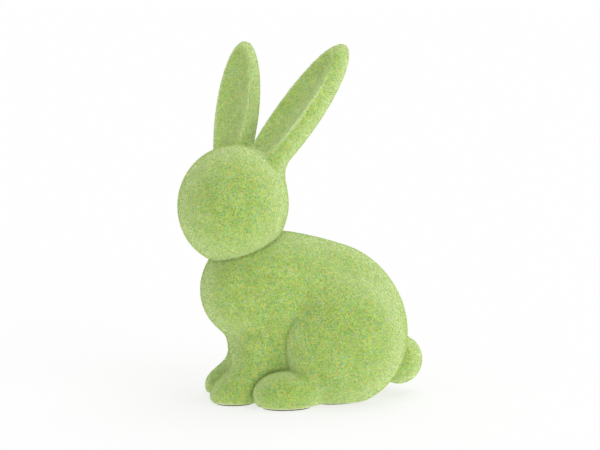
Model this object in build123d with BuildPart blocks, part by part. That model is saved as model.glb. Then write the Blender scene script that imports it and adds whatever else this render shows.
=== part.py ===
from build123d import *
import os
from dataclasses import dataclass
from math import acos, cos, degrees, hypot, radians, sin, sqrt

# A sitting rabbit figurine in hollow slip-cast ceramic, coated with short green flock and
# standing on a felt pad. Millimetres. The rabbit looks along -Y, +X is its left, +Z is up,
# and the origin lies on the underside of the felt, midway between the hind legs.
# All sizes of the outer form are measured over the flock.

# Build-up of the figure, from the outside inwards
flock_pile = 0.8
casting_wall = 4.0
felt_thickness = 1.0
felt_inset = 1.5

# Loin: a broad wheel of back, belly and rump, with its axle across
loin_radius = 50.0
loin_half_width = 26.0
loin_back = 9.2
loin_up = 37.0

# Rump: widens the loin behind
rump_radius = 32.5
rump_half_width = 34.0
rump_back = 24.0
rump_up = 34.0

# Shoulders: carry the back's line down from the neck
shoulder_radius = 28.0
shoulder_half_length = 36.0
shoulder_forward = 14.0
shoulder_up = 65.0
shoulder_lean = -14.0

# Breast: the round front below the chin
breast_radius = 25.0
breast_half_height = 27.0
breast_forward = 30.3
breast_up = 61.0

# Haunches: the folded hind legs
haunch_radius = 31.0
haunch_half_width = 18.0
haunch_aside = 21.5
haunch_back = 19.5
haunch_up = 33.0

# Seat: fills each haunch out down to the ground, which cuts it off where it is sunk
seat_radius = 16.0
seat_half_length = 26.0
seat_aside = 18.0
seat_back = 16.0
seat_sunk = 3.0

# Hind feet
foot_radius = 12.4
foot_half_length = 18.5
foot_aside = 26.8
foot_forward = 11.5
foot_sunk = 5.8

# Forelegs and their paws
leg_radius = 10.2
leg_half_height = 26.0
leg_aside = 12.0
leg_forward = 27.5
leg_up = 22.0
leg_lean = -20.0
paw_radius = 10.9
paw_half_length = 15.5
paw_aside = 12.5
paw_forward = 36.5
paw_sunk = 5.5
paw_droop = 14.0

# Tail: a ball set half into the back of the loin
tail_radius = 13.3
tail_half_height = 13.8
tail_up = 19.0

# Head: an egg, turned to the rabbit's left
head_radius = 30.3
head_half_height = 32.6
head_forward = 37.0
head_up = 108.0
head_yaw = 46.0
head_lean = -18.0

# Ears: spoon-shaped, with a shallow cup in front; reach is measured from the head's middle
ear_half_width = 12.0
ear_half_depth = 12.9
ear_reach = 110.7
ear_dome_height = 48.3
ear_root_half_width = 9.8
ear_lean = 36.1
ear_splay = 17.0
ear_aside = 2.3
ear_forward = 3.7
ear_cup_turn = 12.0
cup_radius = 23.3
cup_half_height = 90.0
cup_middle = 66.0
cup_floor = 4.1

# Fixed joints: luted faces and tenons closed with slip, and the glue under the flock
slip_gap = 0.1
tenon_stub = 1.0
neck_tenon_radius = 8.0
neck_vent_radius = 5.0
neck_tilt = 27.0
ear_tenon_radius = 4.5
ear_vent_radius = 2.5
tail_tenon_radius = 4.0
base_vent_radius = 6.0

# One overrun for every cut, and the small flat on the ends of every egg
overrun = 2.0
end_flat = 0.6

# Heights of the lobes that are cut off flat on the felt
seat_up = felt_thickness + seat_radius - seat_sunk
foot_up = felt_thickness + foot_radius - foot_sunk
paw_rise = hypot(paw_radius * cos(radians(paw_droop)), paw_half_length * sin(radians(paw_droop)))
paw_up = felt_thickness + paw_rise - paw_sunk

# The tail's middle lies on the loin's surface, at the tail's own height
tail_drop_share = (loin_up - tail_up) / loin_radius
tail_back = loin_back + loin_radius * sqrt(1 - tail_drop_share**2)


@dataclass(frozen=True)
class Lobe:
    """An egg turned on an axle, measured over the flock: its radius, half its length and its place."""

    axle: str
    radius: float
    half_length: float
    middle: tuple
    lean: float = 0

    def solid(self, inset, side=1):
        """The lobe, smaller by inset all round, on the rabbit's left or right side."""
        across = self.radius - inset
        along = self.half_length - inset
        sweep = degrees(acos(end_flat / across))
        with BuildPart() as egg:
            with BuildSketch(Plane.XZ):
                with BuildLine():
                    arc = EllipticalCenterArc((0, 0), across, along, -sweep, arc_size=2 * sweep)
                    Polyline(arc @ 1, (0, (arc @ 1).Y), (0, (arc @ 0).Y), arc @ 0)
                make_face()
            revolve(axis=Axis.Z)
        turn = {"X": (0, side * 90, 0), "Y": (self.lean - 90, 0, 0), "Z": (self.lean, 0, 0)}[self.axle]
        spin = {1: 0, -1: 180}[side]
        place = Location((side * self.middle[0], self.middle[1], self.middle[2]), turn)
        return place * Rotation(0, 0, spin) * egg.part

    def ground_oval(self):
        """Middle and radii of the flat that the felt's plane cuts on the casting."""
        across = self.radius - flock_pile
        along = self.half_length - flock_pile
        width = along if self.axle == "X" else across
        length = along if self.axle == "Y" else across
        lean = radians(self.lean)
        drop = self.middle[2] - felt_thickness
        rise = hypot(across * cos(lean), length * sin(lean))
        flat_share = sqrt(1 - (drop / rise) ** 2)
        shift = drop * sin(lean) * cos(lean) * (across**2 - length**2) / rise**2
        middle = (self.middle[0], self.middle[1] + shift)
        return middle, width * flat_share, length * across / rise * flat_share


loin = Lobe("X", loin_radius, loin_half_width, (0, loin_back, loin_up))
rump = Lobe("X", rump_radius, rump_half_width, (0, rump_back, rump_up))
shoulder_middle = (0, -shoulder_forward, shoulder_up)
shoulder = Lobe("Y", shoulder_radius, shoulder_half_length, shoulder_middle, shoulder_lean)
breast = Lobe("Z", breast_radius, breast_half_height, (0, -breast_forward, breast_up))
haunch = Lobe("X", haunch_radius, haunch_half_width, (haunch_aside, haunch_back, haunch_up))
seat = Lobe("Y", seat_radius, seat_half_length, (seat_aside, seat_back, seat_up))
foot = Lobe("Y", foot_radius, foot_half_length, (foot_aside, -foot_forward, foot_up))
leg = Lobe("Z", leg_radius, leg_half_height, (leg_aside, -leg_forward, leg_up), leg_lean)
paw = Lobe("Y", paw_radius, paw_half_length, (paw_aside, -paw_forward, paw_up), paw_droop)
tail = Lobe("Z", tail_radius, tail_half_height, (0, tail_back, tail_up))
head = Lobe("Z", head_radius, head_half_height, (0, 0, 0), head_lean)
cup = Lobe("Z", cup_radius, cup_half_height, (0, cup_floor + cup_radius, cup_middle))

# The head and ears are made about the head's middle, looking along -Y, and then put here
head_place = Location((0, -head_forward, head_up), (0, 0, head_yaw))


def joined(solids):
    """One solid from several that run into each other."""
    with BuildPart() as whole:
        for solid in solids:
            add(solid)
    return whole.part


def stood(solid, floor):
    """What of a solid lies above the height called floor."""
    with BuildPart() as standing:
        add(solid)
        split(bisect_by=Plane.XY.offset(floor), keep=Keep.TOP)
    return standing.part


def body_form(inset, floor):
    """Torso and haunches as one solid."""
    lobes = [lobe.solid(inset) for lobe in (loin, rump, shoulder, breast)]
    sides = [lobe.solid(inset, side) for lobe in (haunch, seat) for side in (1, -1)]
    return stood(joined(lobes + sides), floor)


def leg_form(inset, side):
    """One foreleg with its paw."""
    return stood(joined([leg.solid(inset, side), paw.solid(inset, side)]), felt_thickness)


def foot_form(inset, side):
    """One hind foot."""
    return stood(foot.solid(inset, side), felt_thickness)


def ball(inset):
    """The head, where it sits on the neck."""
    return head_place * head.solid(inset)


def spoon(inset):
    """The left ear along its own axis: a tapered blank less its cup."""
    half_width = ear_half_width - inset
    root_half_width = ear_root_half_width - inset
    dome_foot = ear_reach - ear_dome_height
    dome_height = ear_dome_height - inset
    start = head_radius - ear_half_depth
    with BuildPart() as ear:
        with BuildSketch(Plane.XZ):
            with BuildLine():
                sweep = degrees(acos(end_flat / half_width))
                dome = EllipticalCenterArc((0, dome_foot), half_width, dome_height, arc_size=sweep)
                TangentArc((half_width, dome_foot), (root_half_width, head_radius), tangent=(0, -1))
                Polyline(
                    (root_half_width, head_radius),
                    (root_half_width, start),
                    (0, start),
                    (0, (dome @ 1).Y),
                    dome @ 1,
                )
            make_face()
        revolve(axis=Axis.Z)
        scale(by=(1, (ear_half_depth - inset) / half_width, 1), about=(0, 0, 0))
        add(cup.solid(-inset), mode=Mode.SUBTRACT)
    return ear.part


def less(solid, others):
    """A solid cut back to where its neighbours begin."""
    with BuildPart() as rest:
        add(solid)
        for other in others:
            add(other, mode=Mode.SUBTRACT)
    return rest.part


def ear_plane(side):
    """An ear's own plane in the head's frame: Z along the ear, Y out of the cup."""
    splay, lean, turn = radians(ear_splay), radians(ear_lean), radians(ear_cup_turn)
    axis = Vector(side * sin(splay), cos(splay) * sin(lean), cos(splay) * cos(lean))
    facing = Vector(-side * sin(turn), -cos(turn), 0)
    return Plane(origin=(side * ear_aside, -ear_forward, 0), x_dir=facing.cross(axis), z_dir=axis)


def ear_place(side):
    """Where an ear's own frame lies in the figure."""
    return head_place * ear_plane(side).location


# The neck's plane: Z runs from the head's middle down into the shoulders
neck_plane = Plane(
    origin=(0, -head_forward, head_up),
    x_dir=(1, 0, 0),
    z_dir=(0, sin(radians(neck_tilt)), -cos(radians(neck_tilt))),
)

# Sizes shared by the castings: their inner face, and how near a neighbour's face comes
inside = flock_pile + casting_wall
seam = flock_pile - slip_gap
cavity_floor = felt_thickness + casting_wall
neck_start = head_radius - inside
neck_reach = head_half_height - flock_pile + casting_wall + tenon_stub
tenon_start = head_half_height - inside - tenon_stub
ear_seat = head_half_height + casting_wall / 2

# Body casting: hollow, dished on top for the head, with sockets and a vent hole in its floor
body_outer = body_form(flock_pile, felt_thickness)
body_cavity = less(body_form(inside, cavity_floor), [ball(flock_pile - casting_wall)])
body_dish = ball(seam)
with BuildPart() as body_casting:
    add(body_outer)
    add(body_cavity, mode=Mode.SUBTRACT)
    add(body_dish, mode=Mode.SUBTRACT)
    with BuildSketch(neck_plane):
        Circle(neck_tenon_radius + slip_gap)
    extrude(amount=neck_reach + overrun, mode=Mode.SUBTRACT)
    with BuildSketch(Plane((0, tail_back, tail_up), z_dir=(0, -1, 0))):
        Circle(tail_tenon_radius + slip_gap)
    extrude(amount=inside + overrun, mode=Mode.SUBTRACT)
    with BuildSketch(Plane.XY.offset(felt_thickness)):
        with Locations((0, loin_back)):
            Circle(base_vent_radius)
    extrude(amount=casting_wall + overrun, mode=Mode.SUBTRACT)

# Head casting: a hollow egg with a tubular neck tenon below and a socket for each ear
head_outer = ball(flock_pile)
head_cavity = ball(inside)
with BuildPart() as head_casting:
    add(head_outer)
    add(head_cavity, mode=Mode.SUBTRACT)
    with BuildSketch(neck_plane.offset(neck_start)):
        Circle(neck_tenon_radius)
    extrude(amount=neck_reach - neck_start)
    with BuildSketch(neck_plane):
        Circle(neck_vent_radius)
    extrude(amount=neck_reach + overrun, mode=Mode.SUBTRACT)
    for side in (1, -1):
        with BuildSketch(Plane(ear_place(side)).offset(tenon_start - overrun)):
            Circle(ear_tenon_radius + slip_gap)
        extrude(amount=ear_seat + overrun - tenon_start, mode=Mode.SUBTRACT)


def ear_casting(side):
    """A hollow ear whose tubular tenon fills its socket and vents into the head."""
    place = Plane(ear_place(side))
    outer = ear_place(side) * spoon(flock_pile)
    cavity = less(ear_place(side) * spoon(inside), [ball(flock_pile - casting_wall)])
    crown = ball(seam)
    with BuildPart() as ear:
        add(outer)
        add(cavity, mode=Mode.SUBTRACT)
        add(crown, mode=Mode.SUBTRACT)
        with BuildSketch(place.offset(tenon_start)):
            Circle(ear_tenon_radius)
        extrude(amount=ear_seat - tenon_start)
        with BuildSketch(place.offset(tenon_start - overrun)):
            Circle(ear_vent_radius)
        extrude(amount=head_half_height + casting_wall + overrun - tenon_start, mode=Mode.SUBTRACT)
    return ear.part


# Tail: solid, with a peg into the body
tail_ball = tail.solid(flock_pile)
body_face = body_form(seam, felt_thickness)
with BuildPart() as tail_casting:
    add(tail_ball)
    add(body_face, mode=Mode.SUBTRACT)
    with BuildSketch(Plane((0, tail_back, tail_up), z_dir=(0, -1, 0))):
        Circle(tail_tenon_radius)
    extrude(amount=inside + tenon_stub)


def foreleg_casting(side):
    """A solid foreleg, luted to the breast."""
    return less(leg_form(flock_pile, side), [body_face])


def foot_casting(side):
    """A solid hind foot, luted to the body."""
    return less(foot_form(flock_pile, side), [body_face, leg_form(seam, side)])


# Flock coats: one pile thick, each cut where a casting or an earlier coat begins
body_skin = body_form(-slip_gap, felt_thickness)


def body_coat():
    """The coat over torso and haunches."""
    limbs = [form(seam, side) for form in (leg_form, foot_form) for side in (1, -1)]
    return less(body_form(0, felt_thickness), [body_face, ball(-slip_gap), tail.solid(seam)] + limbs)


def head_coat():
    """The coat over the head."""
    ears = [ear_place(side) * spoon(seam) for side in (1, -1)]
    return less(ball(0), [ball(seam), body_face] + ears)


def ear_coat(side):
    """The coat over one ear."""
    return less(ear_place(side) * spoon(0), [ear_place(side) * spoon(seam), ball(-slip_gap)])


def tail_coat():
    """The coat over the tail."""
    return less(tail.solid(0), [tail.solid(seam), body_skin])


def foreleg_coat(side):
    """The coat over one foreleg."""
    return less(leg_form(0, side), [leg_form(seam, side), foot_form(seam, side), body_skin])


def foot_coat(side):
    """The coat over one hind foot."""
    return less(foot_form(0, side), [foot_form(seam, side), leg_form(-slip_gap, side), body_skin])


def felt_pad(ovals):
    """A pad that follows the ground ovals of some lobes, each with the side that it lies on."""
    with BuildPart() as pad:
        with BuildSketch():
            for lobe, side in ovals:
                middle, half_width, half_length = lobe.ground_oval()
                with Locations((side * middle[0], middle[1])):
                    Ellipse(half_width - felt_inset, half_length - felt_inset)
        extrude(amount=felt_thickness)
    return pad.part


pieces = {
    "body_casting": body_casting.part,
    "head_casting": head_casting.part,
    "left_ear": ear_casting(1),
    "right_ear": ear_casting(-1),
    "tail": tail_casting.part,
    "left_foreleg": foreleg_casting(1),
    "right_foreleg": foreleg_casting(-1),
    "left_hind_foot": foot_casting(1),
    "right_hind_foot": foot_casting(-1),
    "body_flock": body_coat(),
    "head_flock": head_coat(),
    "left_ear_flock": ear_coat(1),
    "right_ear_flock": ear_coat(-1),
    "tail_flock": tail_coat(),
    "left_foreleg_flock": foreleg_coat(1),
    "right_foreleg_flock": foreleg_coat(-1),
    "left_hind_foot_flock": foot_coat(1),
    "right_hind_foot_flock": foot_coat(-1),
    "body_felt": felt_pad([(loin, 1), (seat, 1), (seat, -1)]),
    "left_paw_felt": felt_pad([(paw, 1)]),
    "right_paw_felt": felt_pad([(paw, -1)]),
    "left_foot_felt": felt_pad([(foot, 1)]),
    "right_foot_felt": felt_pad([(foot, -1)]),
}

os.makedirs("parts", exist_ok=True)
for name, piece in pieces.items():
    with BuildPart() as finished:
        add(piece)
    finished.part.label = name
    export_step(finished.part, f"parts/{name}.step")
    print(name, len(finished.part.solids()), round(finished.part.volume, 1), finished.part.is_valid)
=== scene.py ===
"""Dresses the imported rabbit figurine: its green flock, the felt below it, its biscuit castings
and the studio that it stands in."""

import logging
from dataclasses import dataclass, field
from enum import Enum

import bmesh
import bpy
import numpy as np
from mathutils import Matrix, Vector


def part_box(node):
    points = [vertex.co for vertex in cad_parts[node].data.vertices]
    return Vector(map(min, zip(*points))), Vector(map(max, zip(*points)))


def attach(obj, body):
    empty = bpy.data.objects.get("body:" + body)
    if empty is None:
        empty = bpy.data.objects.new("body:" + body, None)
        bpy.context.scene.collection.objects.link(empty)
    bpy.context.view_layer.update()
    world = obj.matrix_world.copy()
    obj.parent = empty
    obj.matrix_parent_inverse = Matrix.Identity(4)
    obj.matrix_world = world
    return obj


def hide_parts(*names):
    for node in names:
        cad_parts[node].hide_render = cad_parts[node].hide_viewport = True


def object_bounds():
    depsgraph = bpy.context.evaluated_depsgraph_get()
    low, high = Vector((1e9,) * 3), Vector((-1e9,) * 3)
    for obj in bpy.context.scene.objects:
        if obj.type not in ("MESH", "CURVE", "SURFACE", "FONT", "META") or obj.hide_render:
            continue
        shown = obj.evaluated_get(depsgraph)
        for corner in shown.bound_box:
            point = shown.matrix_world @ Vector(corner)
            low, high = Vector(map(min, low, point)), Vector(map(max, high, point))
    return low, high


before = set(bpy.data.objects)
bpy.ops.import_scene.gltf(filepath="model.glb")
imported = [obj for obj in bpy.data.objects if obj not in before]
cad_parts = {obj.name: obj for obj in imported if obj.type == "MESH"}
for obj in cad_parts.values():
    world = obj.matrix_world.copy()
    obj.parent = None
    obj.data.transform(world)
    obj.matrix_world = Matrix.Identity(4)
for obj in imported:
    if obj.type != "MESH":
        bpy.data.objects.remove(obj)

CAD_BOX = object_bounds()
MM = 0.001
BODY = "root"
WHITE = (1.0, 1.0, 1.0, 1.0)
NEVER_ZERO = 1e-9
log = logging.getLogger("rabbit")

Piece = bpy.types.Object
Node = bpy.types.Node
Socket = bpy.types.NodeSocket
Tree = bpy.types.NodeTree


class Side(Enum):
    """One side of the rabbit, as the sign of X there."""

    LEFT = 1
    RIGHT = -1

    @property
    def word(self) -> str:
        """The side's name as it stands in piece names."""
        return self.name.lower()


# Soft unions of distances


def soft_union(one: np.ndarray, other: np.ndarray, blend: float | np.ndarray) -> np.ndarray:
    """Joins two forms with a fillet between them.

    Args:
        one: Signed distances to the first form, in millimetres.
        other: Signed distances to the second form.
        blend: How far apart the two may be and still melt together.

    Returns:
        Signed distances to the joined form.
    """
    near = np.maximum(blend - np.abs(one - other), 0) / blend
    return np.minimum(one, other) - near * near * blend / 4


def soft_cut(one: np.ndarray, other: np.ndarray, blend: float) -> np.ndarray:
    """Cuts one form back to another with a rounded edge.

    Args:
        one: Signed distances to the form that is cut.
        other: Signed distances to what it is kept inside of.
        blend: The size of the rounding.

    Returns:
        Signed distances to what is left.
    """
    return -soft_union(-one, -other, blend)


def eased(share: np.ndarray) -> np.ndarray:
    """A smooth step from 0 to 1."""
    share = np.clip(share, 0, 1)
    return share * share * (3 - 2 * share)


def turned(points: np.ndarray, axis: int, angle: float) -> np.ndarray:
    """Points seen from a frame that is turned about one axis.

    Args:
        points: Points in millimetres, in the last dimension.
        axis: 0 for X, 2 for Z.
        angle: The frame's turn in degrees.

    Returns:
        The same points in the turned frame.
    """
    first, second = [(1, 2), (2, 0), (0, 1)][axis]
    cosine, sine = np.cos(np.radians(angle)), np.sin(np.radians(angle))
    result = points.copy()
    result[..., first] = cosine * points[..., first] + sine * points[..., second]
    result[..., second] = cosine * points[..., second] - sine * points[..., first]
    return result


@dataclass(frozen=True)
class Lobe:
    """An egg-shaped lobe, measured over the flock in millimetres.

    Attributes:
        middle: Its middle, on the rabbit's left side where there are two.
        radii: Half its width, length and height before it leans.
        lean: Its turn about X, in degrees.
    """

    middle: tuple[float, float, float]
    radii: tuple[float, float, float]
    lean: float = 0.0

    def distance(self, points: np.ndarray) -> np.ndarray:
        """Signed distances to the lobe, true near its surface.

        Args:
            points: Points in millimetres.

        Returns:
            One distance for each point, negative inside.
        """
        local = points - np.array(self.middle, points.dtype)
        if self.lean:
            local = turned(local, 0, self.lean)
        radii = np.array(self.radii, points.dtype)
        reach = np.linalg.norm(local / radii, axis=-1)
        slope = np.linalg.norm(local / radii**2, axis=-1) + NEVER_ZERO
        return reach * (reach - 1) / slope


def on_side(points: np.ndarray, side: Side) -> np.ndarray:
    """Points as the left-hand form sees them when it stands on the given side."""
    return points * np.array([side.value, 1, 1], points.dtype)


@dataclass(frozen=True)
class Torso:
    """Loin, rump, shoulders, breast and the folded hind legs, in one casting.

    Each blend says how softly its lobe melts into the rest, in millimetres. A haunch has a crisp
    front edge and melts into the back: melt_slope, melt_start and melt_length say how the one
    passes into the other, backwards and upwards.
    """

    loin: Lobe = Lobe((0, 9.2, 37), (26, 50, 50))
    rump: Lobe = Lobe((0, 24, 34), (34, 32.5, 32.5))
    shoulders: Lobe = Lobe((0, -14, 65), (28, 36, 28), -14)
    breast: Lobe = Lobe((0, -30.3, 61), (25, 25, 27))
    haunch: Lobe = Lobe((21.5, 19.5, 33), (18, 31, 31))
    seat: Lobe = Lobe((18, 16, 14), (16, 26, 16))
    rump_blend: float = 10.0
    shoulder_blend: float = 12.0
    breast_blend: float = 5.0
    seat_blend: float = 8.0
    haunch_front_blend: float = 1.2
    haunch_rear_blend: float = 16.0
    melt_slope: tuple[float, float] = (0.7, 0.5)
    melt_start: float = -19.0
    melt_length: float = 22.0

    def distance(self, points: np.ndarray) -> np.ndarray:
        """Signed distances to the torso with both haunches.

        Args:
            points: Points in millimetres.

        Returns:
            One distance for each point, negative inside.
        """
        form = soft_union(self.loin.distance(points), self.rump.distance(points), self.rump_blend)
        form = soft_union(form, self.shoulders.distance(points), self.shoulder_blend)
        form = soft_union(form, self.breast.distance(points), self.breast_blend)
        back, up = self.melt_slope
        along = points[..., 1] * back + points[..., 2] * up + self.melt_start
        melted = eased(along / self.melt_length)
        growth = self.haunch_rear_blend - self.haunch_front_blend
        haunch_blend = self.haunch_front_blend + growth * melted
        for side in Side:
            form = soft_union(form, self.haunch.distance(on_side(points, side)), haunch_blend)
            form = soft_union(form, self.seat.distance(on_side(points, side)), self.seat_blend)
        return form


@dataclass(frozen=True)
class Foreleg:
    """One foreleg and its paw, which melt together over the blend."""

    side: Side
    leg: Lobe = Lobe((12, -27.5, 22), (10.2, 10.2, 26), -20)
    paw: Lobe = Lobe((12.5, -36.5, 6.7), (10.9, 15.5, 10.9), 14)
    blend: float = 8.0

    def distance(self, points: np.ndarray) -> np.ndarray:
        """Signed distances to the leg and paw."""
        local = on_side(points, self.side)
        return soft_union(self.leg.distance(local), self.paw.distance(local), self.blend)


@dataclass(frozen=True)
class HindFoot:
    """One hind foot, which shows in front of the haunch."""

    side: Side
    foot: Lobe = Lobe((26.8, -11.5, 7.6), (12.4, 18.5, 12.4))

    def distance(self, points: np.ndarray) -> np.ndarray:
        """Signed distances to the foot."""
        return self.foot.distance(on_side(points, self.side))


@dataclass(frozen=True)
class Tail:
    """The ball of the tail, half sunk in the back of the loin."""

    ball: Lobe = Lobe((0, 55.9, 19), (13.3, 13.3, 13.8))

    def distance(self, points: np.ndarray) -> np.ndarray:
        """Signed distances to the tail."""
        return self.ball.distance(points)


@dataclass(frozen=True)
class HeadFrame:
    """Where the head sits and how far it looks to the rabbit's left."""

    middle: tuple[float, float, float] = (0, -37, 108)
    yaw: float = 46.0

    def seen(self, points: np.ndarray) -> np.ndarray:
        """Points in the head's own frame, with its middle at the origin."""
        return turned(points - np.array(self.middle, points.dtype), 2, self.yaw)


@dataclass(frozen=True)
class Head:
    """The plain egg of the head, without a face."""

    place: HeadFrame = HeadFrame()
    egg: Lobe = Lobe((0, 0, 0), (30.3, 30.3, 32.6), -18)

    def distance(self, points: np.ndarray) -> np.ndarray:
        """Signed distances to the head."""
        return self.egg.distance(self.place.seen(points))


@dataclass(frozen=True)
class Ear:
    """One spoon-shaped ear with its shallow cup.

    Attributes:
        side: The side of the head that it stands on.
        place: The head's own frame.
        half_width: Half its greatest width.
        half_depth: Half its depth at the same height.
        dome_foot: Where its long rounded top begins, from the head's middle.
        dome_height: How far the top reaches from there.
        root_half_width: Half its width where it leaves the head.
        root_height: Where that is.
        splay: Its lean away from the middle, in degrees.
        lean: Its lean to the back.
        cup_turn: How far the cup faces inwards.
        aside: Its axis's offset to the side.
        forward: Its axis's offset to the front.
        cup: The egg that hollows the cup out.
        rim: The rounding of the cup's rim.
        hidden_root: How far down it goes on inside the head.
        back_blend: How softly its back grows out of the head.
        front_blend: The same in front of its cup.
        front_from: How far out of its axis the front begins.
        front_length: Over what length the one passes into the other.
    """

    side: Side
    place: HeadFrame = HeadFrame()
    half_width: float = 12.0
    half_depth: float = 12.9
    dome_foot: float = 62.4
    dome_height: float = 48.3
    root_half_width: float = 9.8
    root_height: float = 30.3
    splay: float = 17.0
    lean: float = 36.1
    cup_turn: float = 12.0
    aside: float = 2.3
    forward: float = 3.7
    cup: Lobe = Lobe((0, 27.4, 66), (22.5, 22.5, 89.2))
    rim: float = 1.6
    hidden_root: float = 14.0
    back_blend: float = 10.0
    front_blend: float = 3.0
    front_from: float = 0.0
    front_length: float = 7.0

    def axes(self) -> np.ndarray:
        """The ear's own axes, seen from the head's frame.

        Returns:
            Three rows: across the ear, out of its cup, and along it.
        """
        splay, lean, turn = np.radians([self.splay, self.lean, self.cup_turn])
        rise = np.cos(splay)
        along = np.array([np.sin(splay), rise * np.sin(lean), rise * np.cos(lean)])
        facing = np.array([-np.sin(turn), -np.cos(turn), 0])
        facing -= along * (facing @ along)
        facing /= np.linalg.norm(facing)
        return np.stack([np.cross(facing, along), facing, along])

    def seen(self, points: np.ndarray) -> np.ndarray:
        """Points seen from the ear's own frame.

        Args:
            points: Points in millimetres.

        Returns:
            How far each lies across the ear, out of its cup, and along it.
        """
        local = on_side(self.place.seen(points), self.side)
        local = local - np.array([self.aside, -self.forward, 0], points.dtype)
        return local @ self.axes().T.astype(points.dtype)

    def blend(self, points: np.ndarray) -> np.ndarray:
        """How softly the ear grows out of the head: sharp in front of the cup, soft behind."""
        front = eased((self.seen(points)[..., 1] - self.front_from) / self.front_length)
        return self.back_blend + (self.front_blend - self.back_blend) * front

    def distance(self, points: np.ndarray) -> np.ndarray:
        """Signed distances to the ear.

        Args:
            points: Points in millimetres.

        Returns:
            One distance for each point, negative inside.
        """
        local = self.seen(points)
        across, facing, along = local[..., 0], local[..., 1], local[..., 2]
        dome = Lobe((0, 0, self.dome_foot), (self.half_width, self.half_depth, self.dome_height))
        below = np.clip((self.dome_foot - along) / (self.dome_foot - self.root_height), 0, 1)
        taper = 1 - (1 - self.root_half_width / self.half_width) * below**2
        girth = np.hypot(across / self.half_width, facing / self.half_depth)
        stem = np.maximum((girth - taper) * self.half_width, self.hidden_root - along)
        blank = np.where(along > self.dome_foot, dome.distance(local), stem)
        return soft_cut(blank, -self.cup.distance(local), self.rim)


@dataclass(frozen=True)
class Figure:
    """The whole rabbit's outer form and how its parts melt into each other.

    Each blend says how softly a part melts into the rest, in millimetres. A hind foot passes
    from the toe's blend to the heel's between the two places of toe_to_heel, along Y. The figure
    is cut off flat at the height of ground, where the felt begins.
    """

    torso: Torso = Torso()
    head: Head = Head()
    tail: Tail = Tail()
    ears: tuple[Ear, ...] = tuple(Ear(side) for side in Side)
    forelegs: tuple[Foreleg, ...] = tuple(Foreleg(side) for side in Side)
    hind_feet: tuple[HindFoot, ...] = tuple(HindFoot(side) for side in Side)
    leg_blend: float = 9.0
    toe_blend: float = 1.5
    heel_blend: float = 6.0
    toe_to_heel: tuple[float, float] = (-14.0, 4.0)
    tail_blend: float = 1.5
    neck_blend: float = 1.0
    ground: float = 1.0
    ground_blend: float = 1.0

    def forms(self) -> dict[str, Torso | Head | Tail | Ear | Foreleg | HindFoot]:
        """The nine parts of the figure.

        Returns:
            Each part by the name that its pieces bear.
        """
        named = {"body": self.torso, "head": self.head, "tail": self.tail}
        named |= {f"{ear.side.word}_ear": ear for ear in self.ears}
        named |= {f"{leg.side.word}_foreleg": leg for leg in self.forelegs}
        named |= {f"{foot.side.word}_hind_foot": foot for foot in self.hind_feet}
        return named

    def distance(self, points: np.ndarray) -> np.ndarray:
        """Signed distances to the whole figure, cut off flat above the felt.

        Args:
            points: Points in millimetres.

        Returns:
            One distance for each point, negative inside.
        """
        form = self.torso.distance(points)
        for leg in self.forelegs:
            form = soft_union(form, leg.distance(points), self.leg_blend)
        toe, heel = self.toe_to_heel
        backwards = eased((points[..., 1] - toe) / (heel - toe))
        foot_blend = self.toe_blend + (self.heel_blend - self.toe_blend) * backwards
        for foot in self.hind_feet:
            form = soft_union(form, foot.distance(points), foot_blend)
        form = soft_union(form, self.tail.distance(points), self.tail_blend)
        top = self.head.distance(points)
        for ear in self.ears:
            top = soft_union(top, ear.distance(points), ear.blend(points))
        form = soft_union(form, top, self.neck_blend)
        return soft_cut(form, self.ground - points[..., 2], self.ground_blend)


# Meshes from distances


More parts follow.
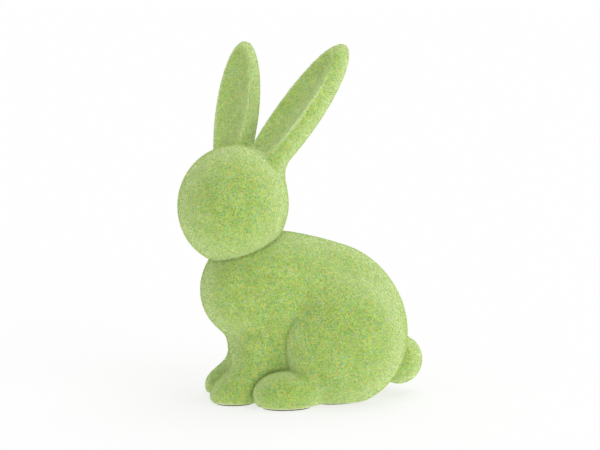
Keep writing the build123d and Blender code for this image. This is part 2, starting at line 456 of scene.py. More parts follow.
@dataclass
class Skin:
    """An even net of four-sided faces over a form.

    Attributes:
        figure: The form.
        depth: How far the net lies below the form's surface, in millimetres.
        step: The size of a mesh.
        block: Meshes along one side of a block that is looked at as a whole first.
        nearby: How many block widths off the surface a block is still looked at point by point.
        margin: How far the net's grid reaches beyond the CAD box, in millimetres.
        rounds: How often the points are moved onto the surface.
        nudge: How far off each point the slope is felt for, in millimetres.
        least_slope: The least slope, squared, that a point is moved by.
        feel: How far off each point a bend is felt for, in millimetres.
        ridge_from: The bend from which a painted ridge highlight begins.
        ridge_full: The bend of a full painted ridge highlight.
        fold_from: The bend from which painted fold shade begins.
        fold_full: The bend of full painted fold shade.
        highlight_fade_height: The height up to which the painted ridge highlight fades out towards
            the floor.
        underside: What looks down enough to carry no flock, as the Z of its normal.
        points: The net's points in millimetres, with their normals and four-sided faces.
    """

    figure: Figure
    depth: float = 0.3
    step: float = 1.1
    block: int = 6
    nearby: int = 2
    margin: float = 4.0
    rounds: int = 2
    nudge: float = 0.05
    least_slope: float = 0.1
    feel: float = 1.8
    ridge_from: float = 0.08
    ridge_full: float = 0.26
    fold_from: float = 0.03
    fold_full: float = 0.22
    highlight_fade_height: float = 6.0
    underside: float = -0.9
    points: np.ndarray = field(init=False)
    normals: np.ndarray = field(init=False)
    faces: np.ndarray = field(init=False)

    def __post_init__(self) -> None:
        """Makes the net."""
        low, high = (np.array(corner) / MM for corner in CAD_BOX)
        self.make_net(low - self.margin, high + self.margin)
        self.settle()

    def distance(self, points: np.ndarray) -> np.ndarray:
        """Signed distances to the surface that the net lies on."""
        return self.figure.distance(points) + self.depth

    def sampled(self, low: np.ndarray, high: np.ndarray) -> np.ndarray:
        """Distances on a grid, worked out point by point only in the blocks near the surface.

        Args:
            low: The grid's first corner, in millimetres.
            high: A corner that it reaches at least.

        Returns:
            One distance for each point of the grid.
        """
        wide = self.block * self.step
        counts = np.ceil((high - low) / wide).astype(int)
        middles = [low[i] + (np.arange(counts[i]) + 0.5) * wide - self.step / 2 for i in range(3)]
        coarse = self.distance(np.stack(np.meshgrid(*middles, indexing="ij"), -1))
        shape = (counts[0], self.block, counts[1], self.block, counts[2], self.block)
        fine = np.empty(shape, np.float32)
        fine[:] = coarse[:, None, :, None, :, None]
        near = np.argwhere(np.abs(coarse) < self.nearby * wide)
        offsets = (np.arange(self.block) - (self.block - 1) / 2) * self.step
        around = np.stack(np.meshgrid(offsets, offsets, offsets, indexing="ij"), -1)
        centres = np.stack([middles[i][near[:, i]] for i in range(3)], -1)
        there = (centres[:, None, None, None] + around).astype(np.float32)
        fine[near[:, 0], :, near[:, 1], :, near[:, 2], :] = self.distance(there)
        return fine.reshape(counts * self.block)

    def make_net(self, low: np.ndarray, high: np.ndarray) -> None:
        """Puts a point in every cell that the surface crosses and a face round every edge.

        Args:
            low: The grid's first corner, in millimetres.
            high: A corner that it reaches at least.
        """
        grid = self.sampled(low, high)
        inside = grid < 0
        corners = [(i, j, k) for i in (0, 1) for j in (0, 1) for k in (0, 1)]
        size = np.array(grid.shape) - 1
        total = np.zeros(size, np.int8)
        for i, j, k in corners:
            total += inside[i:i + size[0], j:j + size[1], k:k + size[2]]
        cells = np.argwhere((total > 0) & (total < len(corners)))
        sums, counts = np.zeros((len(cells), 3)), np.zeros(len(cells))
        for start in corners:
            for axis in range(3):
                if start[axis]:
                    continue
                step = np.eye(3, dtype=int)[axis]
                near = grid[tuple((cells + start).T)]
                far = grid[tuple((cells + start + step).T)]
                crossed = (near < 0) != (far < 0)
                share = np.where(crossed, near / np.where(crossed, near - far, 1), 0)
                place = cells + start + step * share[:, None]
                sums[crossed] += place[crossed]
                counts[crossed] += 1
        self.points = sums / counts[:, None] * self.step + low
        index = np.full(size, -1)
        index[tuple(cells.T)] = np.arange(len(cells))
        runs = [self.faces_along(axis, inside, index, size) for axis in range(3)]
        self.faces = np.concatenate(runs)

    @staticmethod
    def faces_along(
        axis: int, inside: np.ndarray, index: np.ndarray, size: np.ndarray
    ) -> np.ndarray:
        """The faces round the grid's edges along one axis.

        Args:
            axis: 0, 1 or 2.
            inside: Which grid points lie inside the form.
            index: The number of each cell's point.
            size: How many cells there are along each axis.

        Returns:
            Four point numbers for each face, turned outwards.
        """
        across, along = (axis + 1) % 3, (axis + 2) % 3
        first = np.take(inside, range(inside.shape[axis] - 1), axis)
        second = np.take(inside, range(1, inside.shape[axis]), axis)
        edges = np.argwhere(first != second)
        within = (edges[:, [across, along]] > 0).all(1) & (edges < size).all(1)
        edges = edges[within]
        back = np.zeros((4, 3), int)
        back[[1, 2], across] = -1
        back[[2, 3], along] = -1
        faces = np.stack([index[tuple((edges + b).T)] for b in back], -1)
        return np.where(inside[tuple(edges.T)][:, None], faces, faces[:, ::-1])

    def slope(self, points: np.ndarray) -> np.ndarray:
        """Which way the distance grows.

        Args:
            points: Points in millimetres.

        Returns:
            The slope at each point, about 1 long.
        """
        steps = np.eye(3) * self.nudge
        rise = [self.distance(points + step) - self.distance(points - step) for step in steps]
        return np.stack(rise, -1) / (2 * self.nudge)

    def settle(self) -> None:
        """Moves the points onto the surface and takes their normals from it."""
        for _ in range(self.rounds):
            slope = self.slope(self.points)
            steep = np.maximum((slope * slope).sum(-1), self.least_slope)
            self.points -= slope * (self.distance(self.points) / steep)[:, None]
        slope = self.slope(self.points)
        self.normals = slope / np.linalg.norm(slope, axis=1)[:, None]

    def bends(self) -> np.ndarray:
        """How sharply the form bends at each point: up to 1 on a ridge, down to -1 in a fold, as
        the mask for a painted highlight on ridges and painted shade in folds.

        Returns:
            One value for each point of the net.
        """
        offsets = np.concatenate([np.eye(3), -np.eye(3)]) * self.feel
        around = np.mean([self.distance(self.points + offset) for offset in offsets], 0)
        bend = (around - self.distance(self.points)) / self.feel
        ridge_highlight = eased((bend - self.ridge_from) / (self.ridge_full - self.ridge_from))
        # The painted ridge highlight fades out near the floor.
        ridge_highlight *= eased(self.points[:, 2] / self.highlight_fade_height)
        fold_shade = eased((-bend - self.fold_from) / (self.fold_full - self.fold_from))
        return ridge_highlight - fold_shade

    def without_underside(self) -> np.ndarray:
        """The faces that carry flock, which are all but the flat ones on the ground.

        Returns:
            Four point numbers for each of them.
        """
        height = self.points[self.faces, 2].mean(1)
        facing_down = self.normals[self.faces, 2].mean(1) < self.underside
        return self.faces[~(facing_down & (height < self.figure.ground + 2 * self.depth))]


def in_scene(name: str, data: bpy.types.ID) -> Piece:
    """Puts a new object in the scene, at the origin.

    Args:
        name: The object's name.
        data: Its mesh, light or camera.

    Returns:
        The object.
    """
    made = bpy.data.objects.new(name, data)
    bpy.context.scene.collection.objects.link(made)
    return made


def mesh_object(name: str, points: np.ndarray, faces: np.ndarray) -> Piece:
    """A smooth mesh object in the scene.

    Args:
        name: The object's name.
        points: Its points in millimetres.
        faces: Point numbers of its faces.

    Returns:
        The object, at the origin.
    """
    mesh = bpy.data.meshes.new(name)
    mesh.from_pydata((points * MM).tolist(), [], faces.tolist())
    mesh.polygons.foreach_set("use_smooth", np.ones(len(mesh.polygons), bool))
    return in_scene(name, mesh)


def declared(piece: Piece, slot: str, *nodes: str) -> Piece:
    """Puts a finished piece on the body and says what it stands for.

    Args:
        piece: The finished object.
        slot: The name of the material slot that it stands for, which is only logged.
        nodes: The CAD nodes that it replaces.

    Returns:
        The same object.
    """
    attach(piece, BODY)
    if nodes:
        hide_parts(*nodes)
    log.info("%s: %d faces, %s", piece.name, len(piece.data.polygons), slot)
    return piece


# Shader groups and finishes


class Graph:
    """A node tree while it is built."""

    def __init__(self, tree: Tree) -> None:
        """Takes the tree that the nodes go into."""
        self.tree = tree

    @staticmethod
    def sockets(node: Node) -> dict[str, Socket]:
        """A node's sockets by identifier, since several may share a name."""
        return {socket.identifier: socket for socket in (*node.inputs, *node.outputs)}

    def feed(self, socket: Socket, value: object) -> None:
        """Links an output to an input, or sets the input.

        Args:
            socket: The input.
            value: The output, or else a number or a colour.
        """
        if isinstance(value, Socket):
            self.tree.links.new(value, socket)
        else:
            socket.default_value = value

    def add(self, kind: str, inputs: dict[str, object] | None = None, **settings: object) -> Node:
        """Adds a node.

        Args:
            kind: Blender's name for the node type.
            inputs: What its inputs are fed with, by name.
            settings: Its properties by name.

        Returns:
            The new node.
        """
        node = self.tree.nodes.new(kind)
        for name, value in settings.items():
            setattr(node, name, value)
        for name, value in (inputs or {}).items():
            self.feed(node.inputs[name], value)
        return node

    def maths(self, operation: str, *values: float | Socket) -> Socket:
        """Adds a Math node.

        Args:
            operation: Blender's name for the operation.
            values: Numbers or the outputs that feed it.

        Returns:
            Its output.
        """
        node = self.add("ShaderNodeMath", operation=operation)
        for socket, value in zip(node.inputs, values):
            self.feed(socket, value)
        return node.outputs[0]

    def mixed(self, way: str, share: object, first: object, second: object) -> Socket:
        """Adds a Mix node for two colours.

        Args:
            way: Blender's name for the way of mixing.
            share: How much the second colour counts, a number or an output.
            first: The first colour, or the output that gives it.
            second: The second, likewise.

        Returns:
            Its output.
        """
        sockets = self.sockets(self.add("ShaderNodeMix", data_type="RGBA", blend_type=way))
        self.feed(sockets["Factor_Float"], share)
        self.feed(sockets["A_Color"], first)
        self.feed(sockets["B_Color"], second)
        return sockets["Result_Color"]


def new_group(name: str, kind: str, given: dict[str, str], given_back: dict[str, str]) -> Tree:
    """A new node group with its named sockets and no nodes.

    Args:
        name: The group's name.
        kind: Blender's name for the kind of tree.
        given: The kind of each input by name.
        given_back: The kind of each output by name.

    Returns:
        The group.
    """
    group = bpy.data.node_groups.new(name, kind)
    for way, sockets in (("INPUT", given), ("OUTPUT", given_back)):
        for label, socket in sockets.items():
            group.interface.new_socket(label, in_out=way, socket_type=socket)
    return group


def new_material(name: str) -> tuple[bpy.types.Material, Node]:
    """Makes a new material.

    Args:
        name: The material's name.

    Returns:
        The material and its shader node.
    """
    made = bpy.data.materials.new(name)
    made.use_nodes = True
    return made, made.node_tree.nodes["Principled BSDF"]


def colour(red: int, green: int, blue: int) -> tuple[float, float, float, float]:
    """Turns a display colour into the linear colour that Blender works in.

    Args:
        red: How much red there is, 0 to 255.
        green: How much green.
        blue: How much blue.

    Returns:
        The linear colour, which hides all behind it.
    """
    shown = np.array([red, green, blue]) / 255
    linear = np.where(shown <= 0.04045, shown / 12.92, ((shown + 0.055) / 1.055) ** 2.4)
    return (*linear.tolist(), 1.0)


class Heather:
    """Shader group for mixed fibres: which fibre shows, broad patches, and the nap's height."""

    NAME = "Heather"
    PATCH_DETAIL = 3.0
    PATCH_ROUGHNESS = 0.6
    NAP_DETAIL = 2.0
    NAP_SCALE = 0.8
    TUFT_DEPTH = -0.5

    @classmethod
    def group(cls) -> Tree:
        """Builds the group the first time it is asked for.

        Returns:
            A group with the inputs Speck and Patch, their sizes in metres, and the outputs
            Fibre, Patch and Height.
        """
        if cls.NAME in bpy.data.node_groups:
            return bpy.data.node_groups[cls.NAME]
        given = dict.fromkeys(("Speck", "Patch"), "NodeSocketFloat")
        given_back = dict.fromkeys(("Fibre", "Patch", "Height"), "NodeSocketFloat")
        tree = new_group(cls.NAME, "ShaderNodeTree", given, given_back)
        graph = Graph(tree)
        sizes = graph.add("NodeGroupInput").outputs
        place = graph.add("ShaderNodeTexCoord").outputs["Object"]
        fine = graph.maths("DIVIDE", 1.0, sizes["Speck"])
        broad = graph.maths("DIVIDE", 1.0, sizes["Patch"])
        cells = graph.add("ShaderNodeTexVoronoi", {"Vector": place, "Scale": fine}).outputs
        drawn = graph.add("ShaderNodeSeparateColor", {"Color": cells["Color"]})
        softness = {"Detail": cls.PATCH_DETAIL, "Roughness": cls.PATCH_ROUGHNESS}
        clouds = graph.add("ShaderNodeTexNoise", {"Vector": place, "Scale": broad, **softness})
        finer = graph.maths("MULTIPLY", fine, cls.NAP_SCALE)
        nap = graph.add(
            "ShaderNodeTexNoise", {"Vector": place, "Scale": finer, "Detail": cls.NAP_DETAIL}
        )
        tufts = graph.maths("MULTIPLY", cells["Distance"], cls.TUFT_DEPTH)
        graph.add(
            "NodeGroupOutput",
            {
                "Fibre": drawn.outputs["Red"],
                "Patch": clouds.outputs["Fac"],
                "Height": graph.maths("ADD", nap.outputs["Fac"], tufts),
            },
        )
        return tree


@dataclass(frozen=True)
class Velvet:
    """Light and shade painted on a pile: a pale sheen painted where the surface is seen at a
    grazing angle, a painted highlight on ridges, and painted shade in folds.

    Attributes:
        tint: The colour of the painted sheen and the painted ridge highlight, 0 to 255.
        strength: How much painted sheen shows at a grazing angle.
        power: How close to grazing that is.
        ridge_highlight: How much painted highlight shows on a sharp ridge.
        fold_shade: How much painted shade darkens a sharp fold.
    """

    tint: tuple[int, int, int]
    strength: float
    power: float
    ridge_highlight: float
    fold_shade: float

    def over(self, graph: Graph, base: Socket) -> Socket:
        """Adds the nodes that paint the sheen, the ridge highlight and the fold shade into a
        colour.

        Args:
            graph: The material's nodes.
            base: The output that gives the colour below.

        Returns:
            The output with the painted sheen, highlight and shade.
        """
        # Painted shade: folds are darkened by how sharply the skin bends there.
        bend = graph.add("ShaderNodeAttribute", attribute_name=Coats.BEND).outputs["Fac"]
        painted_fold_loss = graph.maths("MULTIPLY", graph.maths("MINIMUM", bend, 0.0), self.fold_shade)
        light = graph.maths("ADD", painted_fold_loss, 1.0)
        fold_shaded = graph.mixed("MULTIPLY", 1.0, base, light)
        # Painted sheen and highlight: paler at grazing angles and on ridges.
        facing = graph.add("ShaderNodeLayerWeight").outputs["Facing"]
        along = graph.maths("MULTIPLY", graph.maths("POWER", facing, self.power), self.strength)
        painted_ridge_glow = graph.maths("MULTIPLY", graph.maths("MAXIMUM", bend, 0.0), self.ridge_highlight)
        share = graph.maths("MULTIPLY", graph.maths("MAXIMUM", along, painted_ridge_glow), light)
        return graph.mixed("MIX", share, fold_shaded, colour(*self.tint))


@dataclass(frozen=True)
class Finish:
    """A material made of mixed specks, with a nap or a grain.

    Attributes:
        name: The material's name.
        fibres: The colours of the specks, each with its share of the whole.
        shade: What broad patches are multiplied by at their darkest.
        speck: The size of a speck in metres.
        patch: The size of a broad patch in metres.
        roughness: The shader's roughness.
        nap: How deep the bumps are, in metres.
        sheen: How strong the soft glow at grazing angles is.
        sheen_roughness: How widely that glow spreads.
        sheen_tint: Its colour.
        specular: The shader's specular level.
        darkest: Up to which patch value the shade is whole.
        palest: From which patch value on there is none.
        velvet: The painted sheen at grazing angles, painted highlight on ridges and painted shade
            in folds, laid over the colour.
    """

    name: str
    fibres: tuple[tuple[tuple[int, int, int], float], ...]
    shade: tuple[int, int, int]
    speck: float
    patch: float
    roughness: float
    nap: float
    sheen: float = 0.0
    sheen_roughness: float = 0.5
    sheen_tint: tuple[int, int, int] = (255, 255, 255)
    specular: float = 0.5
    darkest: float = 0.35
    palest: float = 0.65
    velvet: Velvet | None = None

    def material(self) -> bpy.types.Material:
        """Makes the material the first time it is asked for.

        Returns:
            The material.
        """
        if self.name in bpy.data.materials:
            return bpy.data.materials[self.name]
        made, shader = new_material(self.name)
        shader.inputs["Roughness"].default_value = self.roughness
        shader.inputs["Specular IOR Level"].default_value = self.specular
        shader.inputs["Sheen Weight"].default_value = self.sheen
        shader.inputs["Sheen Roughness"].default_value = self.sheen_roughness
        shader.inputs["Sheen Tint"].default_value = colour(*self.sheen_tint)
        graph = Graph(made.node_tree)
        sizes = {"Speck": self.speck, "Patch": self.patch}
        heather = graph.add("ShaderNodeGroup", sizes, node_tree=Heather.group()).outputs
        depth = graph.add(
            "ShaderNodeMapRange",
            {"Value": heather["Patch"], "From Min": self.darkest, "From Max": self.palest},
        ).outputs["Result"]
        patched = graph.mixed("MIX", depth, colour(*self.shade), WHITE)
        fibres = self.ramp(graph, heather["Fibre"])
        surface = graph.mixed("MULTIPLY", 1.0, fibres, patched)
        # Paints sheen, ridge highlight and fold shade into the base colour.
        if self.velvet:
            surface = self.velvet.over(graph, surface)
        graph.feed(shader.inputs["Base Color"], surface)
        relief = {"Strength": 1.0, "Distance": self.nap, "Height": heather["Height"]}
        graph.feed(shader.inputs["Normal"], graph.add("ShaderNodeBump", relief).outputs["Normal"])
        return made

    def ramp(self, graph: Graph, drawn: Socket) -> Socket:
        """A colour ramp that deals out the fibre colours by their shares.

        Args:
            graph: The material's nodes.
            drawn: The output that draws a number from 0 to 1 for each fibre.

        Returns:
            The output with the fibre's colour.
        """
        node = graph.add("ShaderNodeValToRGB", {"Fac": drawn})
        node.color_ramp.interpolation = "CONSTANT"
        stops = node.color_ramp.elements
        ready_made = len(stops)
        whole = sum(share for _, share in self.fibres)
        reached = 0.0
        for number, (shade, share) in enumerate(self.fibres):
            stop = stops[number] if number < ready_made else stops.new(reached)
            stop.position = reached
            stop.color = colour(*shade)
            reached += share / whole
        return node.outputs["Color"]


@dataclass(frozen=True)
class Strand:
    """One dyed colour of loose fibre.

    Attributes:
        word: The colour in piece names.
        shade: The colour itself, 0 to 255.
        share: Its share of the pile.
        roughness: The shader's roughness.
        specular: The shader's specular level.
        sheen: How strong the soft glow at grazing angles is.
        sheen_tint: Its colour.
    """

    word: str
    shade: tuple[int, int, int]
    share: float
    roughness: float = 0.9
    specular: float = 0.2
    sheen: float = 0.3
    sheen_tint: tuple[int, int, int] = (222, 236, 170)

    def material(self) -> bpy.types.Material:
        """Makes a plain velvety material, since each fibre has one colour.

        Returns:
            The material.
        """
        made, shader = new_material(f"fibre_{self.word}")
        shader.inputs["Base Color"].default_value = colour(*self.shade)
        shader.inputs["Roughness"].default_value = self.roughness
        shader.inputs["Specular IOR Level"].default_value = self.specular
        shader.inputs["Sheen Weight"].default_value = self.sheen
        shader.inputs["Sheen Tint"].default_value = colour(*self.sheen_tint)
        return made


FLOCK = Finish(
    name="green_flock",
    fibres=(
        ((160, 194, 100), 0.32),
        ((182, 210, 114), 0.22),
        ((200, 208, 108), 0.13),
        ((132, 172, 90), 0.14),
        ((142, 188, 148), 0.08),
        ((212, 186, 108), 0.06),
        ((184, 190, 176), 0.05),
    ),
    shade=(230, 236, 212),
    speck=0.0007,
    patch=0.007,
    roughness=0.95,
    nap=0.0003,
    sheen=1.0,
    sheen_roughness=0.4,
    sheen_tint=(236, 246, 200),
    specular=0.1,
    # Painted sheen at grazing angles, painted highlight on ridges and painted shade in folds.
    velvet=Velvet((240, 250, 208), 1.0, 1.6, 1.0, 0.4),
)
STRANDS = (
    Strand("leaf", (180, 209, 118), 0.14),
    Strand("fern", (172, 207, 114), 0.14),
    Strand("lime", (207, 227, 149), 0.14),
    Strand("sprout", (201, 225, 143), 0.12),
    Strand("straw", (214, 219, 134), 0.14),
    Strand("moss", (154, 189, 106), 0.12),
    Strand("mint", (170, 207, 158), 0.12),
    Strand("amber", (217, 200, 126), 0.08),
)
BISCUIT = Finish(
    name="biscuit_ceramic",
    fibres=(((232, 226, 212), 0.8), ((222, 214, 198), 0.17), ((190, 176, 152), 0.03)),
    shade=(236, 232, 222),
    speck=0.0005,
    patch=0.02,
    roughness=0.75,
    nap=0.00004,
    specular=0.35,
)
FELT = Finish(
    name="moss_felt",
    fibres=(((76, 92, 58), 0.5), ((90, 106, 68), 0.3), ((62, 76, 48), 0.2)),
    shade=(214, 214, 206),
    speck=0.0006,
    patch=0.008,
    roughness=1.0,
    nap=0.0002,
    sheen=0.3,
    sheen_tint=(150, 166, 120),
    specular=0.1,
)


# The pieces


@dataclass
class Coats:
    """The flock coat of each casting, one pile thick, cut out of one continuous skin.

    Attributes:
        skin: The surface of the coats.
        thickness: How thick they are, in millimetres.
    """

    BEND = "bend"

    skin: Skin
    thickness: float = 0.45

    def build(self) -> list[Piece]:
        """Makes the nine coats.

        Returns:
            The finished pieces.
        """
        faces = self.skin.without_underside()
        centres = self.skin.points[faces].mean(1)
        forms = self.skin.figure.forms()
        nearest = np.argmin([form.distance(centres) for form in forms.values()], 0)
        bends = self.skin.bends()
        return [self.coat(part, faces[nearest == i], bends) for i, part in enumerate(forms)]

    def coat(self, part: str, faces: np.ndarray, bends: np.ndarray) -> Piece:
        """One coat as a closed shell.

        Args:
            part: The name of the part that it covers.
            faces: The skin's faces over that part.
            bends: How sharply the skin bends at each of its points.

        Returns:
            The finished piece.
        """
        used, numbers = np.unique(faces, return_inverse=True)
        outer = numbers.reshape(faces.shape)
        normals = self.skin.normals[used]
        top = self.skin.points[used]
        points = np.concatenate([top, top - normals * self.thickness])
        starts, ends = outer.ravel(), np.roll(outer, -1, 1).ravel()
        open_edge = ~np.isin(starts * len(used) + ends, ends * len(used) + starts)
        starts, ends = starts[open_edge], ends[open_edge]
        walls = np.stack([ends, starts, starts + len(used), ends + len(used)], -1)
        shell = np.concatenate([outer, outer[:, ::-1] + len(used), walls])
        piece = mesh_object(f"{part}_coat", points, shell)
        shading = np.concatenate([normals, -normals]).tolist()
        piece.data.normals_split_custom_set_from_vertices(shading)
        # The bend is the mask for the painted ridge highlight and painted fold shade in the flock.
        bend = piece.data.attributes.new(self.BEND, "FLOAT", "POINT")
        bend.data.foreach_set("value", np.concatenate([bends[used]] * 2).astype(np.float32))
        piece.data.materials.append(FLOCK.material())
        return declared(piece, "flock", f"{part}_flock")


class PileTree:
    """Geometry Nodes that plant short fibres all over a surface.

    SHORTEST and LONGEST bound a fibre's length, as shares of the set one.
    """

    NAME = "Flock pile"
    INPUTS = {
        "Surface": "NodeSocketGeometry",
        "Density": "NodeSocketFloat",
        "Length": "NodeSocketFloat",
        "Thickness": "NodeSocketFloat",
        "Lean": "NodeSocketFloat",
        "Seed": "NodeSocketInt",
        "Finish": "NodeSocketMaterial",
    }
    SIDES = 3
    SHORTEST = 0.6
    LONGEST = 1.15

    @classmethod
    def tree(cls) -> Tree:
        """Builds the tree the first time it is asked for.

        Returns:
            The tree, whose inputs are those of INPUTS and whose output is the Pile.
        """
        if cls.NAME in bpy.data.node_groups:
            return bpy.data.node_groups[cls.NAME]
        given_back = {"Pile": "NodeSocketGeometry"}
        tree = new_group(cls.NAME, "GeometryNodeTree", cls.INPUTS, given_back)
        graph = Graph(tree)
        given = graph.add("NodeGroupInput").outputs
        roots = graph.add(
            "GeometryNodeDistributePointsOnFaces",
            {"Mesh": given["Surface"], "Density": given["Density"], "Seed": given["Seed"]},
        ).outputs
        fibre = graph.add(
            "GeometryNodeMeshCone",
            {
                "Vertices": cls.SIDES,
                "Radius Top": 0.0,
                "Radius Bottom": given["Thickness"],
                "Depth": given["Length"],
            },
        )
        growth = graph.add("FunctionNodeRandomValue", {"Seed": given["Seed"]}, data_type="FLOAT")
        sizes = graph.sockets(growth)
        graph.feed(sizes["Min_001"], cls.SHORTEST)
        graph.feed(sizes["Max_001"], cls.LONGEST)
        planted = graph.add(
            "GeometryNodeInstanceOnPoints",
            {
                "Points": roots["Points"],
                "Instance": fibre.outputs["Mesh"],
                "Rotation": cls.leaning(graph, given, roots["Rotation"]),
                "Scale": sizes["Value_001"],
            },
        )
        real = graph.add("GeometryNodeRealizeInstances", {"Geometry": planted.outputs["Instances"]})
        dyed = graph.add(
            "GeometryNodeSetMaterial",
            {"Geometry": real.outputs["Geometry"], "Material": given["Finish"]},
        )
        graph.add("NodeGroupOutput", {"Pile": dyed.outputs["Geometry"]})
        return tree

    @staticmethod
    def leaning(graph: Graph, given: bpy.types.NodeOutputs, upright: Socket) -> Socket:
        """Leans each fibre over a little, its own way.

        Args:
            graph: The tree's nodes.
            given: The tree's inputs.
            upright: The output that stands a fibre straight up on the surface.

        Returns:
            The output with the turn of each fibre.
        """
        lean = given["Lean"]
        spread = graph.add("ShaderNodeCombineXYZ", {"X": lean, "Y": lean, "Z": np.pi}).outputs[0]
        least = graph.add(
            "ShaderNodeVectorMath", {"Vector": spread, "Scale": -1.0}, operation="SCALE"
        )
        tilt = graph.add(
            "FunctionNodeRandomValue",
            {"Min": least.outputs["Vector"], "Max": spread, "Seed": given["Seed"]},
            data_type="FLOAT_VECTOR",
        )
        turn = graph.add("FunctionNodeEulerToRotation", {"Euler": tilt.outputs["Value"]})
        return graph.add(
            "FunctionNodeRotateRotation",
            {"Rotation": upright, "Rotate By": turn.outputs["Rotation"]},
            rotation_space="LOCAL",
        ).outputs["Rotation"]


@dataclass
class Pile:
    """The loose fibres that stand out of the coats, one piece for each dyed colour.

    Attributes:
        skin: The surface that they stand on.
        fibres: How many there are in all.
        length: The length of a fibre, in millimetres.
        thickness: Half its width at the root.
        lean: How far it may lean, in degrees.
        seed: The first colour's seed.
    """

    skin: Skin
    fibres: int = 270000
    length: float = 0.6
    thickness: float = 0.13
    lean: float = 50.0
    seed: int = 11

    def build(self) -> list[Piece]:
        """Plants the fibres.

        Returns:
            The finished pieces.
        """
        ground = mesh_object("pile_ground", self.skin.points, self.skin.without_underside())
        area = sum(face.area for face in ground.data.polygons)
        pieces = []
        for number, strand in enumerate(STRANDS):
            values = {
                "Density": self.fibres * strand.share / area,
                "Length": self.length * MM,
                "Thickness": self.thickness * MM,
                "Lean": float(np.radians(self.lean)),
                "Seed": self.seed + number,
                "Finish": strand.material(),
            }
            pieces.append(self.planted(f"pile_{strand.word}", ground, values))
        bpy.data.objects.remove(ground)
        return pieces

    @staticmethod
    def planted(name: str, ground: Piece, values: dict[str, object]) -> Piece:
        """Runs the tree on the surface and keeps the result as a plain mesh.

        Args:
            name: The piece's name.
            ground: The surface.
            values: The tree's inputs by name.

        Returns:
            The finished piece.
        """
        tree = PileTree.tree()
        modifier = ground.modifiers.new("pile", "NODES")
        modifier.node_group = tree
        for item in tree.interface.items_tree:
            if item.item_type == "SOCKET" and item.in_out == "INPUT" and item.name in values:
                modifier[item.identifier] = values[item.name]
        bpy.context.view_layer.update()
        evaluated = ground.evaluated_get(bpy.context.evaluated_depsgraph_get())
        mesh = bpy.data.meshes.new_from_object(evaluated)
        ground.modifiers.remove(modifier)
        mesh.name = name
        return declared(in_scene(name, mesh), "flock")


@dataclass(frozen=True)
class FeltPad:
    """One felt pad, cut by hand and pressed thin at its edge.

    Attributes:
        node: The CAD node that it replaces.
        weld: How close two points are to be one, in millimetres.
        flat: The angle up to which faces are one flat face, in degrees.
        corner: The angle from which two faces meet in an edge, in degrees.
        edge: How far such an edge is rounded, in millimetres.
        edge_steps: Into how many faces.
        level: What lies flat, as the Z of its normal.
        waver: How far the scissors strayed, in millimetres.
        waves: Each wave of the cut: how often it comes round, where it starts, and its share.
    """

    node: str
    weld: float = 0.001
    flat: float = 1.0
    corner: float = 60.0
    edge: float = 0.3
    edge_steps: int = 3
    level: float = 0.99
    waver: float = 0.12
    waves: tuple[tuple[int, int, float], ...] = ((5, 1, 1.0), (11, 2, 0.6))

    def build(self) -> Piece:
        """Makes the pad.

        Returns:
            The finished piece.
        """
        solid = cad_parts[self.node].data
        made = bmesh.new()
        made.from_mesh(solid)
        bmesh.ops.remove_doubles(made, verts=made.verts, dist=self.weld * MM)
        bmesh.ops.dissolve_limit(
            made, angle_limit=np.radians(self.flat), verts=made.verts, edges=made.edges
        )
        low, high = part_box(self.node)
        middle = (low + high) / 2
        for point in made.verts:
            point.co -= self.strayed(point.co - middle)
        sharp = np.radians(self.corner)
        bmesh.ops.bevel(
            made,
            geom=[edge for edge in made.edges if edge.calc_face_angle(0) > sharp],
            offset=self.edge * MM,
            segments=self.edge_steps,
            affect="EDGES",
            profile=0.5,
            clamp_overlap=True,
        )
        bmesh.ops.triangulate(made, faces=[face for face in made.faces if len(face.verts) > 4])
        bmesh.ops.recalc_face_normals(made, faces=made.faces)
        piece = in_scene(f"{self.node}_pad", bpy.data.meshes.new(f"{self.node}_pad"))
        made.to_mesh(piece.data)
        made.free()
        for face in piece.data.polygons:
            face.use_smooth = abs(face.normal.z) < self.level
        piece.data.materials.append(FELT.material())
        return declared(piece, "felt", self.node)

    def strayed(self, place: Vector) -> Vector:
        """How far the cut runs inside the true outline.

        Args:
            place: A point on the outline, seen from the pad's middle.

        Returns:
            The way from the strayed cut out to the outline.
        """
        outwards = Vector((place.x, place.y, 0))
        angle = np.arctan2(outwards.y, outwards.x)
        stray = sum(share * np.sin(count * angle + start) for count, start, share in self.waves)
        most = sum(share for _, _, share in self.waves)
        return outwards.normalized() * (self.waver * MM * (most + stray) / 2)


@dataclass(frozen=True)
class Castings:
    """The nine ceramic castings, which keep their CAD shapes.

    Attributes:
        parts: Their CAD nodes.
    """

    parts: tuple[str, ...] = (
        *("body_casting", "head_casting", "tail"),
        *("left_ear", "left_foreleg", "left_hind_foot"),
        *("right_ear", "right_foreleg", "right_hind_foot"),
    )

    def dress(self) -> None:
        """Gives each casting the biscuit finish."""
        for part in self.parts:
            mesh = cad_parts[part].data
            mesh.materials.clear()
            mesh.materials.append(BISCUIT.material())
            log.info("%s: biscuit", part)


# The studio


@dataclass(frozen=True)
class Lamp:
    """A broad soft lamp, far away, so that it lights figure and floor evenly.

    Attributes:
        name: What it is called.
        place: Which way it stands from the figure.
        spread: How wide it looks from there, in degrees.
        strength: How strongly it lights what faces it.
    """

    name: str
    place: tuple[float, float, float]
    spread: float
    strength: float

    def hang(self) -> None:
        """Puts the lamp up and aims it at the figure."""
        light = bpy.data.lights.new(self.name, "SUN")
        light.angle = np.radians(self.spread)
        light.energy = self.strength
        stand = in_scene(self.name, light)
        stand.location = self.place
        stand.rotation_euler = Vector(self.place).to_track_quat("Z", "Y").to_euler()


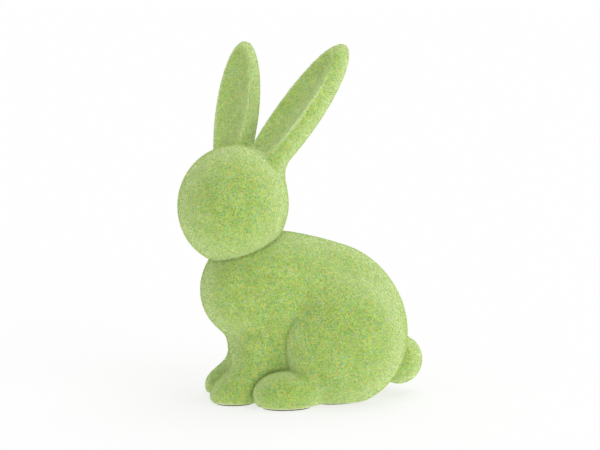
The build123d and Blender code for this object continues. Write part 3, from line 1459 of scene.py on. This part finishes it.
@dataclass(frozen=True)
class Studio:
    """Floor, lamps, white surroundings and the camera.

    Attributes:
        target: What the camera looks at, in metres.
        azimuth: Which way it stands from the figure, in degrees from the front.
        distance: How far off, in metres.
        camera_height: How high over the floor, in metres.
        lens: Its focal length in millimetres.
        sensor: The width of its sensor in millimetres.
        floor_half: Half the floor's width, in metres.
        floor_shade: How pale the floor's paper is.
        floor_glow: How much of the paper is plain white where the camera sees it.
        table_light: How brightly the white part of the floor lights the figure.
        table_share: How much of the floor that part is.
        ambient: How bright the surroundings are.
        lamps: The lamps.
    """

    target: tuple[float, float, float] = (0.0, 0.0, 0.096)
    azimuth: float = 81.0
    distance: float = 1.0
    camera_height: float = 0.235
    lens: float = 110.1
    sensor: float = 36.0
    floor_half: float = 12.0
    floor_shade: float = 0.92
    floor_glow: float = 0.7
    table_light: float = 2.1
    table_share: float = 0.3
    ambient: float = 0.62
    lamps: tuple[Lamp, ...] = (
        Lamp("key", (0.9, 0.8, 0.25), 60.0, 1.5),
        Lamp("top", (-0.2, 0.25, 1.0), 60.0, 1.1),
    )

    def set_up(self) -> None:
        """Builds the studio round the figure."""
        self.lay_floor()
        self.light_world()
        for lamp in self.lamps:
            lamp.hang()
        self.place_camera()
        bpy.context.scene.view_settings.view_transform = "Standard"
        log.info("studio: floor, %d lamps and the camera", len(self.lamps))

    def lay_floor(self) -> None:
        """A pale floor, white to the camera, that keeps the shadow."""
        half, shade = self.floor_half, self.floor_shade
        corners = [(-half, -half, 0), (half, -half, 0), (half, half, 0), (-half, half, 0)]
        mesh = bpy.data.meshes.new("floor")
        mesh.from_pydata(corners, [], [(0, 1, 2, 3)])
        floor = in_scene("floor", mesh)
        paper = bpy.data.materials.new("floor_paper")
        paper.use_nodes = True
        paper.node_tree.nodes.clear()
        graph = Graph(paper.node_tree)
        sight = self.direct_sight(graph)
        unseen = graph.maths("SUBTRACT", 1.0, sight)
        below = graph.maths("MULTIPLY", unseen, self.table_light)
        matt = graph.add("ShaderNodeBsdfDiffuse", {"Color": (shade, shade, shade, 1)})
        glow = graph.add(
            "ShaderNodeEmission", {"Color": WHITE, "Strength": graph.maths("ADD", sight, below)}
        )
        seen = graph.maths("MULTIPLY", sight, self.floor_glow)
        share = graph.maths("MAXIMUM", seen, self.table_share)
        blend = graph.add("ShaderNodeMixShader", {"Fac": share})
        graph.feed(blend.inputs[1], matt.outputs[0])
        graph.feed(blend.inputs[2], glow.outputs[0])
        graph.add("ShaderNodeOutputMaterial", {"Surface": blend.outputs[0]})
        mesh.materials.append(paper)

    @staticmethod
    def direct_sight(graph: Graph) -> Socket:
        """Tells what the camera sees from what only lights the scene.

        Args:
            graph: The nodes of the material or world.

        Returns:
            The output that is 1 for what is seen straight, mirrored or through glass, else 0.
        """
        path = graph.add("ShaderNodeLightPath").outputs
        mirrored = graph.maths("MAXIMUM", path["Is Glossy Ray"], path["Is Transmission Ray"])
        return graph.maths("MAXIMUM", path["Is Camera Ray"], mirrored)

    def light_world(self) -> None:
        """An even grey light all round that the camera sees as white."""
        world = bpy.data.worlds.new("studio")
        bpy.context.scene.world = world
        world.use_nodes = True
        graph = Graph(world.node_tree)
        sky = world.node_tree.nodes["Background"]
        graph.feed(sky.inputs["Color"], WHITE)
        seen = graph.maths("MULTIPLY", self.direct_sight(graph), 1 - self.ambient)
        graph.feed(sky.inputs["Strength"], graph.maths("ADD", seen, self.ambient))

    def place_camera(self) -> None:
        """Stands the camera where the photograph was taken from."""
        angle = np.radians(self.azimuth)
        target = Vector(self.target)
        place = target + Vector((np.sin(angle), -np.cos(angle), 0)) * self.distance
        place.z = self.camera_height
        lens = bpy.data.cameras.new("camera")
        lens.lens = self.lens
        lens.sensor_width = self.sensor
        camera = in_scene("camera", lens)
        camera.location = place
        camera.rotation_euler = (target - place).to_track_quat("-Z", "Y").to_euler()
        bpy.context.scene.camera = camera


def main() -> None:
    """Builds every piece in order."""
    logging.basicConfig(level=logging.INFO, format="%(message)s")
    skin = Skin(Figure())
    Castings().dress()
    Coats(skin).build()
    Pile(skin).build()
    for part in ("body", "left_paw", "right_paw", "left_foot", "right_foot"):
        FeltPad(f"{part}_felt").build()
    Studio().set_up()


if __name__ == "__main__":
    main()
